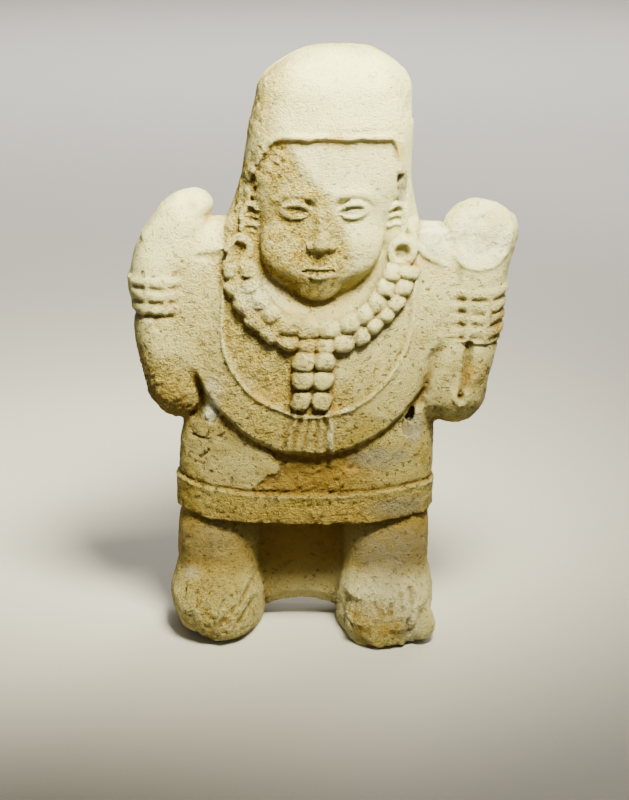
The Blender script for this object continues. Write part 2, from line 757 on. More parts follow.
    def add_nose(self, head: Clay) -> None:
        """A straight nose, as long as a third of the face, with rounded wings."""
        skull = self.skull()
        low = self.chin + self.third
        top = self.chin + 2 * self.third
        front = skull.front(0.0, low + 3)
        bridge = (0, front - 1.1, top - 0.45 * self.third)
        line = [(0, front + 0.6, top + 1.0), bridge, (0, front - 2.2, low + 3.8)]
        head.add(Rod.along(line, [1.9, 1.8, 2.1], 8), 2.8)
        head.add(Lump((0, front + 1.9, low + 6.5), (4.6, 3.0, 8.5)), 2.4)
        head.add(Lump((0, front - 2.2, low + 2.3), (2.5, 2.2, 2.1)), 1.3)
        head.add(Lump((0, front + 0.4, low - 0.4), (2.4, 1.7, 2.4)), 1.6)
        for side in Side:
            head.add(Lump((side.value * 2.9, front - 0.6, low + 1.8), (1.7, 1.9, 1.7)), 1.0)

    def add_mouth(self, head: Clay) -> None:
        """Closed, level lips, the soft cheeks beside them and the chin below."""
        skull = self.skull()
        level = self.chin + 0.64 * self.third
        front = skull.front(0.0, level)
        head.add(Lump((0, front + 2.6, level), (8.5, 4.0, 5.2)), 2.6)
        upper = [(-5.2, 0.6, 0.1), (-2.7, -0.7, 0.95), (-0.9, -1.2, 1.35), (0, -1.15, 1.15)]
        upper = [*upper, *((-x, y, z) for x, y, z in reversed(upper[:-1]))]
        lower = [(-4.6, 0.5, -0.5), (-2.2, -0.7, -1.3), (0, -1.0, -1.45), (2.2, -0.7, -1.3), (4.6, 0.5, -0.5)]
        seam = [(-5.4, 0.0, 0.05), (-2.7, -1.5, 0.15), (0, -2.0, -0.1), (2.7, -1.5, 0.15), (5.4, 0.0, 0.05)]

        def placed(points: list[Point]) -> list[Point]:
            """The points beside the middle of the mouth."""
            return [(x, front + y, level + z) for x, y, z in points]

        head.add(Rod.along(placed(upper), [0.5, 0.85, 0.95, 0.9, 0.95, 0.85, 0.5], 16), 0.5)
        head.add(Rod.along(placed(lower), [0.5, 1.0, 1.2, 1.0, 0.5], 14), 0.5)
        head.take(Rod.along(placed(seam), [0.35, 0.6, 0.65, 0.6, 0.35], 14), 0.25)
        head.add(Lump((0, skull.front(0, self.chin + 6) + 1.3, self.chin + 5.2), (6.0, 3.0, 4.2)), 3.0)
        for side in Side:
            x = side.value * 11.5
            head.add(Lump((x, skull.front(x, level + 6) + 3.2, level + 6.5), (6.5, 4.2, 7.5)), 3.5)

    def add_ear(self, clay: Clay, side: Side) -> None:
        """An ear as a scroll: a rim, curled over at its top, with a bar inside, on a mass of clay."""
        s, x, z = side.value, self.opening_half_width + 2.8, self.ear_height - 1.6
        clay.add(Lump((s * (x - 1.0), -7.2, z - 2.4), (5.0, 4.5, 9.8)), 1.6)
        clay.add(Lump((s * 27.2, -8.4, 129.4), (2.6, 2.7, 4.4)), 1.4)
        rim = [(-3.4, 3.6), (-1.5, 4.8), (0.7, 4.2), (1.3, 1.2), (1.2, -3.0), (0.7, -5.6)]
        clay.add(Rod.along([(s * (x + a), -12.0 + 0.12 * a, z + b) for a, b in rim], [0.85] * 6, 12), 0.5)
        for level in (0.9, -1.9):
            bar = [(-3.2, level), (-1.4, level + 0.7), (0.4, level + 0.4)]
            clay.add(Rod.along([(s * (x + a), -11.7, z + b) for a, b in bar], [0.75, 0.65, 0.4], 6), 0.4)

    def add_spool(self, clay: Clay, place: Spot) -> None:
        """The round spool in an ear's lobe, a thick ring round a dished hole."""
        x, y, z = place[0], -self.spool_depth, place[1]
        radius = self.spool_radius
        block = clay.near((x - 8, y - 6, z - 8), (x + 8, y + 9, z + 8))
        out = y - block.y - 0.12 * math.copysign(1.0, x) * (block.x - x)
        away = np.hypot(block.x - x, (block.z - z) * 0.95)
        drum = np.maximum(away - radius + 0.6, np.abs(out + 2.0) - 4.0) - 0.5
        block.join(drum, 0.8)
        ring = np.hypot((away - 0.68 * radius) * 0.9, out - 1.9) - 1.35
        block.join(ring, 0.8)
        block.cut(np.maximum(away - 1.35 - 0.35 * out, (0.9 if x > 0 else 1.5) - out), 0.8)

    def sink_temple(self, clay: Clay, side: Side) -> None:
        """The deep gap between the temple and the cloth."""
        line = [(22.2, 146.4), (22.7, 142.6), (23.3, 139.2)]
        for depth in (14.4, 13.2):
            points = [(side.value * x, -depth, z) for x, z in line]
            clay.take(Rod.along(points, [0.5, 1.1, 0.6], 5), 1.1)


@dataclass
class Arms:
    """The two folded arms with their cuffs and raised hands."""

    palm: Spot = (48.5, 127.3)
    palm_radius: float = 9.2
    palm_depth: float = 2.0
    slot_depth: float = 0.85
    cuff_step: float = 0.9
    left_elbow: float = 68.6
    right_elbow: float = 67.2
    left_slot_rows: tuple[float, ...] = (103.3, 107.3, 111.6)
    right_slot_rows: tuple[float, ...] = (96.3, 100.3, 104.3, 108.2)

    def upper(self, side: Side, low: float, high: float) -> Column:
        """The upper arm from the elbow to the shoulder."""
        rows = (
            (0, 40.5, 9, 13), (0.22, 40.9, 8.64, 14.6), (0.56, 38.9, 9.54, 14), (0.84, 35.6, 10, 12),
            (1, 32, 10, 10.5),
        )
        keys = (Key(low + (high - low) * r, half, front, 9.0, side.value * x) for r, x, half, front in rows)
        return Column(tuple(keys), low, high, 11.0, 9.0, 2.6)

    def left_forearm(self) -> Column:
        """The forearm with the narrow hand."""
        rows = (
            (self.left_elbow, 8.0, 14.0, 9.0, -41.0), (79.1, 8.7, 15.2, 9.0, -43.0),
            (96.0, 9.4, 14.4, 7.0, -47.0), (105.0, 9.2, 13.8, 6.0, -47.6), (113.0, 9.9, 13.5, 5.0, -48.6),
            (120.0, 9.9, 13.0, 5.0, -48.1), (127.0, 9.7, 12.0, 5.0, -46.0), (133.6, 8.6, 10.5, 4.0, -43.0),
            (140.6, 7.0, 8.5, 3.0, -40.6),
        )
        return Column(tuple(Key(*row) for row in rows), self.left_elbow, 140.6, 11.0, 6.0, 2.4)

    def right_forearm(self) -> Column:
        """The forearm with the open hand."""
        rows = (
            (self.right_elbow, 7.4, 13.6, 9.0, 45.0), (78.8, 6.6, 15.2, 9.0, 48.2),
            (93.6, 7.8, 14.6, 7.0, 49.8), (111.2, 9.1, 13.8, 5.0, 49.3), (118.6, 10.2, 13.2, 4.0, 49.0),
            (127.1, 11.7, 12.5, 3.0, 49.1), (137.3, 11.0, 11.5, 2.0, 47.8),
        )
        return Column(tuple(Key(*row) for row in rows), self.right_elbow, 137.3, 11.0, 9.0, 2.6)

    def build(self, clay: Clay, grain: Grain) -> None:
        """Adds both arms to the clay."""
        clay.add(self.upper(Side.LEFT, self.left_elbow, 131.8), 3.0)
        clay.add(self.upper(Side.RIGHT, self.right_elbow, 129.5), 3.0)
        panel = (Key(114.0, 5.2, 11.5, 8.0, 34.2), Key(130.0, 5.2, 9.8, 8.0, 33.4))
        clay.add(Column(panel, 114.0, 129.8, 4.0, 1.6, 4.5), 1.5)
        clay.merge(self.left(clay, grain), 1.2)
        clay.merge(self.right(clay, grain), 1.2)

    def cuff(
        self, x: Array, z: Array, rows: tuple[float, ...], columns: list[Spot], ends: Spot, groove: float
    ) -> Array:
        """A raised cuff: swelling ribs between rows of short slots.

        Args:
            x: The drawing's x.
            z: The drawing's z.
            rows: The heights of the rows of slots.
            columns: The x at which each column of slots begins and ends.
            ends: The heights of the cuff's lower and upper edge.
            groove: How deep the ribs are parted between the slots.

        Returns:
            The heights of the cuff over the arm.
        """
        height = self.cuff_step * ramp(z, ends[0] - 0.3, ends[0] + 0.4)
        height = height * ramp(z, ends[1] + 0.9, ends[1] - 0.6)
        height = height - 0.35 * crest(z - ends[0] + 0.9, 0.7)
        for row in rows:
            height = height - groove * crest(z - row, 0.85)
            for left, right in columns:
                along = ramp(x, left - 0.3, left + 1.0) * ramp(x, right + 0.3, right - 1.0)
                height = height - self.slot_depth * along * crest(z - row, 0.95)
        return height

    def left(self, clay: Clay, grain: Grain) -> Clay:
        """The left forearm, its cuff, and the nick and notch in its edges."""
        block = Clay.around(clay.step, self.left_forearm(), 3.5)
        x, z = hand_drawn(block, grain, 0.6, 4.0)
        columns = [(-57.0, -53.2), (-52.4, -46.6), (-46.0, -40.2)]
        height = self.cuff(x, z, self.left_slot_rows, columns, (103.3, 114.6), 0.22)
        # A short line below the cuff and one above its inner end.
        height = height - 0.9 * ramp(line_distance(x, z, [(-48.8, 103.0), (-48.7, 99.6)]), 1.4, 0.3)
        height = height - 0.6 * ramp(line_distance(x, z, [(-44.2, 116.0), (-40.0, 116.2)]), 1.0, 0.3)
        # The worn hollows of the hand and the fold along its outer edge.
        hollows = (((-37.0, 133.0), 5.0, 0.9), ((-41.5, 136.5), 4.5, 0.8), ((-49.0, 125.0), 7.0, 0.5))
        for place, size, depth in hollows:
            height = height - depth * ramp(np.hypot(x - place[0], z - place[1]), size, 0.0)
        fold = line_distance(x, z, [(-54.6, 127.0), (-50.0, 134.0), (-45.0, 138.5)])
        height = height + 0.5 * crest(fold, 1.2)
        block.emboss(height, 3.0, -3.0)
        block.take(Lump((-57.2, -4.0, 126.2), (1.7, 7.0, 1.2)), 0.8)
        return block

    def right(self, clay: Clay, grain: Grain) -> Clay:
        """The right forearm, its cuff, the dished palm and the fold below the cuff."""
        block = Clay.around(clay.step, self.right_forearm(), 3.5)
        block.add(Lump((45.6, -5.0, 77.6), (8.9, 10.8, 10.2)), 2.0)
        x, z = hand_drawn(block, grain, 0.6, 3.5)
        columns = [(39.4, 46.1), (47.1, 52.0), (53.0, 60.0)]
        height = self.cuff(x, z, self.right_slot_rows, columns, (94.9, 111.6), 0.12)
        # The pit at the end of the fold, its rim, and the swelling beside the fold.
        x, z = hand_drawn(block, grain, 0.3, 6.0)
        pit = np.hypot((x - 46.3) * 1.3, z - 78.4)
        height = height - 2.6 * ramp(pit, 2.0, 0.6)
        height = height + 0.75 * crest(pit - 2.9, 0.8) * ramp(z, 80.5, 77.5)
        height = height + 0.9 * ramp(np.hypot((x - 50.6) * 1.3, (z - 85.0) * 0.7), 4.5, 0.0)
        # The dished palm, its rim, and the swelling left in it.
        palm = np.hypot(x - self.palm[0], (z - self.palm[1]) * 1.03) / self.palm_radius
        height = height - self.palm_depth * ramp(palm, 1.0, 0.45)
        height = height + 0.6 * crest(palm - 1.06, 0.1) * ramp(z, 130.0, 122.0)
        height = height + 0.7 * ramp(np.hypot(x - 51.0, z - 130.0), 4.5, 0.5)
        block.emboss(height, 3.0, -3.0)
        return block


@dataclass
class Legs:
    """The legs and worn feet, and the sheet of clay between the legs."""

    top: float = 43.5
    trim: float = 3.0
    foot_height: float = 21.0
    leg_front: float = 13.6
    leg_back: float = 15.5
    web_front: float = 3.0
    web_back: float = 13.0

    def leg(self, inner: float, outer: float) -> Column:
        """A straight leg between two places across."""
        x, half = (outer + inner) / 2, abs(outer - inner) / 2
        low = -self.trim
        front, back = self.leg_front, self.leg_back
        keys = [Key(z, half, front, back, x) for z in (low, 20.0, 34.0)]
        keys.append(Key(self.top, half - 1.6, front - 4.5, back - 1.0, x))
        return Column(tuple(keys), low, self.top, squareness=2.5)

    def foot(self, inner: float, outer: float, toe: float, narrowing: float, rounding: float) -> Column:
        """The blunt foot in front of a leg."""
        x, half = (outer + inner) / 2, abs(outer - inner) / 2
        side = math.copysign(1.0, x)
        keys = (
            Key(-self.trim, half - narrowing, toe - 1.0, self.leg_back, x - side * narrowing),
            Key(self.foot_height / 2, half + 0.9, toe, self.leg_back, x + side * 0.7),
            Key(self.foot_height, half, self.leg_front + 9.0, self.leg_back, x),
        )
        return Column(keys, -self.trim, self.foot_height + 1.0, rounding, 11.0, 2.5)

    def build(self, clay: Clay, grain: Grain) -> None:
        """Adds the legs, feet and web to the clay."""
        box = (-46, -34, -2), (46, 20, self.top + 2)
        block, feet = Clay.empty(clay.step, *box), Clay.empty(clay.step, *box)
        for inner, outer in ((-14.0, -40.3), (11.9, 39.4)):
            block.join(self.leg(inner, outer).distance(block))
        for foot in (self.foot(-14.0, -40.6, 28.0, 2.6, 8.0), self.foot(11.9, 39.4, 30.2, 0.0, 5.0)):
            feet.join(foot.distance(feet))
        self.wear_feet(feet, grain)
        feet.add(Lump((37.0, -20.0, 5.4), (4.7, 7.6, 5.0)), 0.6)
        block.merge(feet, 5.0)
        self.add_web(block)
        clay.merge(block, 0.6)

    def wear_feet(self, feet: Clay, grain: Grain) -> None:
        """Slanting creases on the left foot and a lumpy, broken front on the right one."""
        x, z = hand_drawn(feet, grain, 2.2, 6.0)
        height = np.zeros(x.shape, np.float32)
        creases = (
            [(-28.5, 7.0), (-23.9, 11.0), (-18.8, 14.6), (-14.5, 17.2)],
            [(-23.5, 4.2), (-18.7, 8.2), (-14.0, 11.6)],
        )
        # The creases of the left foot, each with a ridge above it, then its instep and its sunken toe.
        for crease in creases:
            height -= 0.5 * ramp(line_distance(x, z, crease), 2.0, 0.2)
            above = [(a - 0.8, b + 2.4) for a, b in crease]
            height += 0.5 * ramp(line_distance(x, z, above), 3.4, 0.2)
        height += 0.9 * ramp(np.hypot(x + 27.0, (z - 15.5) * 1.3), 8.0, 0.0)
        height -= 0.8 * ramp(np.hypot(x + 31.0, z - 5.5), 6.0, 0.0)
        # On the right foot, the groove beside the outer toe and the step above the lumpy broken front.
        groove = [(34.3, 15.0), (33.9, 10.3), (33.6, 5.4), (32.6, 0.0)]
        height -= 1.0 * ramp(line_distance(x, z, groove), 1.9, 0.2)
        step = [(13.0, 12.0), (19.0, 13.4), (25.0, 12.2), (31.0, 14.0)]
        height -= 0.9 * ramp(line_distance(x, z, step), 1.8, 0.2)
        knob = 0.8 * ramp(np.hypot(x - 21.0, (z - 8.0) * 1.4), 7.0, 1.0)
        height += knob - 1.0 * ramp(np.hypot(x - 27.5, z - 5.0), 4.0, 0.0)
        lumps = grain.rough(on_plane(x, z), 4.5, 3, 0.8).reshape(x.shape)
        height += (0.75 + 0.7 * (x > 0)) * lumps * ramp(z, 20.0, 12.0)
        feet.emboss(height, -8.0, -15.0)

    def add_web(self, block: Clay) -> None:
        """The sheet between the legs, rolled back along its arched lower edge."""
        part = block.near((-19, -8, -1), (17, 18, self.top + 2))
        across = part.x - WEB_MIDDLE
        arch = 6.0 - 3.8 * (across / 14.3) ** 2
        lip = ramp(part.z - arch, 4.6, 0.0) * 4.0
        sheet = np.maximum(-self.web_front + lip - part.y, part.y - self.web_back)
        sheet = np.maximum(np.maximum(sheet, arch - part.z), part.z - self.top)
        part.join(np.maximum(sheet, np.abs(across) - 15.6), 0.8)


@dataclass
class Weathering:
    """Burial crust, flaked slip, pits, cracks, stains and deposits, placed on the clay.

    It is drawn over the front, from left to right and from low to high, in squares as wide as spacing.
    """

    grain: Grain
    left: float = -64.0
    right: float = 66.0
    low: float = -4.0
    high: float = 188.0
    spacing: float = 0.5

    def drawing(self) -> tuple[Array, Array]:
        """The x and z of the drawing that the masks are made on, with ragged shifts."""
        x = np.arange(self.left, self.right, self.spacing, dtype=np.float32)[:, None]
        z = np.arange(self.low, self.high, self.spacing, dtype=np.float32)[None, :]
        x, z = np.broadcast_arrays(x, z)
        places = on_plane(x, z, 3.0)
        aside = self.grain.rough(places, 7.0, 4, 0.65).reshape(x.shape)
        up = self.grain.rough(places + 33.0, 7.0, 4, 0.65).reshape(x.shape)
        return x + 1.6 * aside, z + 1.6 * up

    def masks(self) -> dict[Patina, Array]:
        """The drawings of each kind of weathering on the front."""
        x, z = self.drawing()

        def spots(places: tuple) -> Array:
            """Ragged oval patches: each has its middle, half sizes, strength and softness."""
            total = np.zeros(x.shape, np.float32)
            for across, up, wide, tall, strength, soft in places:
                away = np.hypot((x - across) / wide, (z - up) / tall)
                total = np.maximum(total, strength * ramp(away, 1.0 + soft, 1.0 - soft))
            return total

        def patches(places: tuple) -> Array:
            """Ragged patches: each has its strength, softness and outline."""
            total = np.zeros(x.shape, np.float32)
            for strength, soft, *outline in places:
                total = np.maximum(total, strength * ramp(outline_distance(x, z, outline), soft, -soft))
            return total

        crust = patches((
            (1.0, 2.2, (-14.0, 157.5), (-7.3, 147.4), (0.4, 141.1), (5.7, 131.4), (9.0, 120.4), (4.0, 112.0),
             (-4.0, 107.5), (-15.0, 109.5), (-27.0, 115.0), (-31.0, 128.0), (-27.0, 150.0), (-20.5, 157.5)),
            (0.8, 4.5, (-30.0, 130.0), (-26.0, 156.0), (-17.0, 158.0), (-18.0, 170.0), (-15.0, 180.0),
             (-30.0, 178.0)),
            (0.75, 2.5, (-34.0, 122.0), (-20.0, 119.0), (-12.0, 106.0), (1.0, 99.0), (1.0, 93.0),
             (-14.0, 94.0), (-30.0, 106.0)),
            (0.85, 2.5, (-29.5, 112.0), (-14.0, 97.0), (-4.0, 93.0), (-5.0, 76.0), (-14.0, 78.0),
             (-24.0, 86.0), (-29.5, 98.0)),
            (0.5, 5.0, (-38.0, 92.0), (-26.0, 90.0), (-10.0, 76.0), (10.0, 76.0), (10.0, 60.0),
             (-14.0, 60.0), (-34.0, 74.0)),
            (0.85, 4.0, (-56.0, 92.0), (-36.0, 86.0), (-32.5, 76.0), (-36.0, 64.0), (-58.0, 62.0)),
            (0.4, 5.0, (-44.0, 118.0), (-28.0, 118.0), (-28.0, 92.0), (-48.0, 96.0)),
        ))
        crust = np.maximum(crust, spots((
            (23.0, 6.0, 14.0, 9.5, 0.9, 0.4), (56.5, 99.0, 3.6, 6.0, 0.7, 0.5),
            (50.5, 84.0, 3.5, 5.0, 0.6, 0.5), (-27.0, 9.0, 15.0, 10.0, 0.85, 0.5),
            (3.0, 41.5, 38.0, 5.5, 0.65, 0.6), (8.5, 79.0, 4.0, 4.0, 0.6, 0.6),
        )))
        bare = patches((
            (1.0, 0.3, (-14.2, 61.6), (-10.7, 59.8), (-10.2, 58.3), (-11.6, 57.2), (-9.3, 56.1),
             (-9.5, 54.0), (-12.4, 53.0), (-13.8, 51.4), (-17.4, 48.6), (-17.0, 46.5), (30.0, 47.0),
             (30.0, 62.0), (6.0, 61.5)),
        )) * ramp(x, 30.0, 6.0)
        deposit = spots((
            (-30.8, 72.6, 2.3, 3.6, 0.9, 0.3), (34.2, 126.0, 5.4, 6.0, 1.0, 0.2),
            (48.5, 126.9, 9.0, 8.6, 0.8, 0.25), (-18.0, 110.5, 7.0, 4.5, 0.55, 0.5),
            (38.4, 117.3, 1.4, 1.8, 0.8, 0.4), (33.8, 7.0, 2.6, 8.0, 0.6, 0.6),
            (25.5, 15.0, 12.0, 5.0, 0.45, 0.6), (13.0, 6.0, 3.0, 6.0, 0.4, 0.6),
            (-23.0, 58.0, 13.0, 9.0, 0.08, 0.6), (33.2, 64.6, 2.0, 1.6, 0.4, 0.4),
            (-36.0, 19.8, 2.4, 1.6, 0.35, 0.8), (6.8, 66.0, 1.0, 4.5, 0.35, 0.6),
            (11.0, 75.0, 2.2, 0.9, 0.7, 0.5), (-31.0, 80.0, 2.5, 5.0, 0.35, 0.6),
            (22.6, 144.8, 0.8, 1.2, 0.9, 0.4),
        ))
        stain = 0.85 * ramp(line_distance(x, z, [(-15.0, 157.3), (17.5, 157.0), (20.6, 152.0)]), 2.4, 0.6)
        stain = np.maximum(stain, spots((
            (49.2, 83.6, 1.5, 3.4, 0.9, 0.5), (30.5, 119.8, 6.0, 2.0, 0.6, 0.6),
            (37.5, 115.6, 5.0, 1.6, 0.6, 0.5), (-13.0, 78.5, 6.0, 3.0, 0.6, 0.6),
            (13.0, 54.0, 4.0, 3.0, 0.3, 0.7), (23.0, 8.5, 9.0, 4.5, 0.6, 0.6),
            (0.0, 159.0, 2.0, 1.0, 0.8, 0.5), (19.0, 156.5, 1.6, 3.0, 0.6, 0.5),
            (-40.7, 135.9, 1.8, 1.2, 0.7, 0.5), (-35.2, 131.9, 1.4, 2.0, 0.7, 0.5),
            (-38.5, 125.2, 1.6, 1.0, 0.6, 0.5), (51.5, 132.5, 3.2, 2.4, 0.6, 0.7),
            (-1.0, 96.0, 9.0, 3.0, 0.4, 0.6), (14.0, 41.0, 8.0, 3.0, 0.35, 0.6),
            (8.0, 76.0, 3.0, 3.0, 0.4, 0.5), (58.0, 100.0, 2.5, 5.0, 0.6, 0.5),
        )))
        grey = spots((
            (22.0, 58.0, 9.0, 3.0, 0.9, 0.5), (27.0, 26.0, 11.0, 8.0, 0.8, 0.6),
            (28.0, 42.0, 9.0, 3.0, 0.8, 0.5), (31.9, 67.4, 3.4, 4.1, 1.0, 0.2),
            (22.8, 142.2, 1.7, 4.4, 1.0, 0.4), (34.0, 122.0, 4.0, 3.0, 0.35, 0.6),
            (-30.0, 30.0, 8.0, 6.0, 0.35, 0.6),
        ))
        return {
            Patina.CRUST: crust, Patina.BARE: bare, Patina.DEPOSIT: deposit,
            Patina.STAIN: stain, Patina.GREY: grey,
        }

    def read(self, drawing: Array, places: Array, front: Array) -> Array:
        """The value of a drawing at places, one a row, shown only on the front."""
        column = ((places[:, 0] - self.left) / self.spacing).astype(np.int32)
        row = ((places[:, 2] - self.low) / self.spacing).astype(np.int32)
        columns, rows = drawing.shape
        return drawing[np.clip(column, 0, columns - 1), np.clip(row, 0, rows - 1)] * front

    def cracks(self, places: Array) -> Array:
        """The short, uneven cracks beside the hip, 1 in the middle of each."""
        x, y, z = places.T
        near = (x > -38) & (x < -22) & (y < 0) & (z > 55) & (z < 70)
        found = places[near]
        across = found[:, 0] + 0.5 * self.grain.rough(found, 1.5, 2)
        up = found[:, 2] + 0.5 * self.grain.rough(found + 20.0, 1.5, 2)
        lines = (
            [(-36.1, 64.5), (-32.8, 63.8), (-30.7, 64.2)], [(-32.8, 63.8), (-31.1, 66.3)],
            [(-27.9, 65.4), (-27.0, 65.0), (-26.4, 66.6)], [(-33.6, 58.2), (-31.9, 59.2), (-31.1, 60.4)],
        )
        total = np.zeros(len(places), np.float32)
        for line in lines:
            total[near] = np.maximum(total[near], ramp(line_distance(across, up, line), 0.6, 0.15))
        return total

    def patinas(self, places: Array) -> dict[Patina, Array]:
        """The weathering at places, one a row."""
        x, y, z = places.T
        front = ramp(y, 4.0, -3.0)
        found = {kind: self.read(drawing, places, front) for kind, drawing in self.masks().items()}
        broad = self.grain.rough(places, 19.0, 3)
        back = (0.6 + 0.4 * front) * ramp(broad, 0.1, 0.6) * (1 - 0.75 * front)
        found[Patina.CRUST] = np.clip(found[Patina.CRUST] + back, 0, 1)
        # Pits lie where fine noise is highest, and sooner low down and in the crust.
        flecks = self.grain.rough(places, (1.9, 1.9, 1.1), 2, 0.6)
        flecks = flecks + 0.18 * self.grain.rough(places + 5.0, 9.0, 2)
        edge = 0.92 - 0.14 * self.lowness(z) - 0.1 * found[Patina.CRUST]
        pits = ramp(flecks - edge, 0.0, 0.15) * (1 - 0.8 * found[Patina.DEPOSIT])
        temple = ramp(line_distance(x, z, [(22.4, 146.0), (22.9, 142.0), (23.4, 139.4)]), 2.1, 1.0) * front
        temple *= 0.35 + 0.6 * self.grain.rough(places, 1.8, 2)
        found[Patina.PIT] = np.maximum(np.maximum(0.6 * pits, self.cracks(places)), temple)
        return found

    def rise(self, places: Array, found: dict[Patina, Array]) -> Array:
        """How far the weathering raises the surface at places, under 0 where it eats into it."""
        x, y, z = places.T
        lumps = self.grain.rough(places + 11.0, 1.7, 2, 0.7)
        face = ramp(np.hypot(x / 23.0, (z - FACE_HEIGHT) / 24.0), 1.1, 0.85) * ramp(y, -4.0, -9.0)
        even = (0.05 + 0.2 * self.lowness(z)) * (1 - 0.6 * face)
        # The surface is a little uneven all over, lumpy in the crust and sunken where the slip has flaked.
        height = 0.2 * self.grain.rough(places, 16.0, 2) + even * self.grain.rough(places + 40.0, 2.3, 2, 0.8)
        strong = found[Patina.CRUST] ** 1.7 * (1 - 0.78 * face)
        height += strong * (0.12 * (1 - face) * self.grain.rough(places + 70.0, 5.0, 2) + 0.5 * lumps)
        height -= found[Patina.BARE] * (0.6 - 0.4 * lumps)
        # The open hand and the hem band are worn rough.
        palm = ramp(np.hypot(x - 48.5, z - 127.0), 14.0, 12.0) * ramp(z, 112.0, 116.0)
        hem = ramp(np.abs(z - 41.5), 6.5, 4.0)
        height += (0.38 * palm + 0.28 * hem) * self.grain.rough(places + 90.0, 3.2, 3, 0.8)
        height -= 0.5 * found[Patina.PIT]
        height += found[Patina.DEPOSIT] * (0.1 + 0.32 * lumps)
        return height

    @staticmethod
    def lowness(z: Array) -> Array:
        """How far down the figure a height is, from 0 at the brow to 1 at the cape's edge."""
        return ramp(z, 150.0, 60.0)


def add_object(name: str, data: bpy.types.ID) -> bpy.types.Object:
    """A new object in the scene."""
    item = bpy.data.objects.new(name, data)
    bpy.context.scene.collection.objects.link(item)
    return item


class Skin:
    """The figure's surface, taken off the clay as one mesh."""

    def __init__(self, clay: Clay, most: int) -> None:
        """Takes the surface off the clay, with at most so many triangles."""
        grid = openvdb.FloatGrid(FAR)
        grid.copyFromArray(clay.field)
        grid.transform = openvdb.createLinearTransform(voxelSize=clay.step)
        points, _, quads = grid.convertToPolygons(0.0, 0.0)
        points = points + (clay.start * clay.step).astype(np.float32)
        mesh = self.make(NODE + "_skin", points, quads)
        log.info("%d points and %d quads before thinning", len(points), len(quads))
        piece = add_object("carved_figure", mesh)
        thin = piece.modifiers.new("thin", "DECIMATE")
        thin.ratio = min(1.0, most / (2 * len(quads)))
        thin.use_collapse_triangulate = True
        thinned = bpy.data.meshes.new_from_object(piece.evaluated_get(bpy.context.evaluated_depsgraph_get()))
        piece.modifiers.clear()
        piece.data = thinned
        bpy.data.meshes.remove(mesh)
        self.piece = piece

    @staticmethod
    def make(name: str, points: Array, faces: Array) -> bpy.types.Mesh:
        """A mesh of points and of faces with equally many corners."""
        mesh = bpy.data.meshes.new(name)
        corners = faces.shape[1]
        mesh.vertices.add(len(points))
        mesh.vertices.foreach_set("co", points.astype(np.float32).ravel())
        mesh.loops.add(faces.size)
        mesh.loops.foreach_set("vertex_index", faces[:, ::-1].astype(np.int32).ravel())
        mesh.polygons.add(len(faces))
        mesh.polygons.foreach_set("loop_start", np.arange(0, faces.size, corners, dtype=np.int32))
        mesh.update(calc_edges=True)
        return mesh

    def places(self) -> Array:
        """The places of the mesh's points, one a row."""
        found = np.zeros(len(self.piece.data.vertices) * 3, np.float32)
        self.piece.data.vertices.foreach_get("co", found)
        return found.reshape(-1, 3)

    def keep_largest(self) -> None:
        """Deletes every loose crumb but the figure itself."""
        mesh = self.piece.data
        edges = np.zeros(len(mesh.edges) * 2, np.int32)
        mesh.edges.foreach_get("vertices", edges)
        edges = edges.reshape(-1, 2)
        label = np.arange(len(mesh.vertices))
        while True:
            low = np.minimum(label[edges[:, 0]], label[edges[:, 1]])
            lowest = label.copy()
            np.minimum.at(lowest, edges[:, 0], low)
            np.minimum.at(lowest, edges[:, 1], low)
            lowest = lowest[lowest]
            if np.array_equal(lowest, label):
                break
            label = lowest
        names, counts = np.unique(label, return_counts=True)
        if len(names) == 1:
            return
        log.info("%d loose crumbs deleted", len(names) - 1)
        keep = label == names[np.argmax(counts)]
        corners = np.zeros(len(mesh.loops), np.int32)
        mesh.loops.foreach_get("vertex_index", corners)
        corners = corners.reshape(-1, 3)
        corners = corners[keep[corners[:, 0]]]
        moved = np.cumsum(keep) - 1
        kept = self.make(mesh.name, self.places()[keep], moved[corners][:, ::-1])
        self.piece.data = kept
        bpy.data.meshes.remove(mesh)

    def paint(self, found: dict[Patina, Array]) -> None:
        """Writes the weathering on the mesh's points, as one attribute for each kind."""
        for kind, values in found.items():
            layer = self.piece.data.attributes.new(kind.value, "FLOAT", "POINT")
            layer.data.foreach_set("value", np.clip(values, 0, 1).astype(np.float32))

    def settle(self, places: Array, low: Vector, high: Vector) -> None:
        """Leans the figure, stands it on the ground in metres and keeps it in the solid's box."""
        lean = LEAN * (np.maximum(places[:, 2], 0) / HEIGHT) ** LEAN_CURVE
        shift = [lean + FOOTPRINT_SHIFT[0], lean * 0 + FOOTPRINT_SHIFT[1], lean * 0]
        moved = places + np.stack(shift, axis=1)
        moved = np.clip(moved * MM, np.array(low), np.array(high))
        mesh = self.piece.data
        mesh.vertices.foreach_set("co", moved.astype(np.float32).ravel())
        mesh.update()
        mesh.polygons.foreach_set("use_smooth", np.ones(len(mesh.polygons), bool))


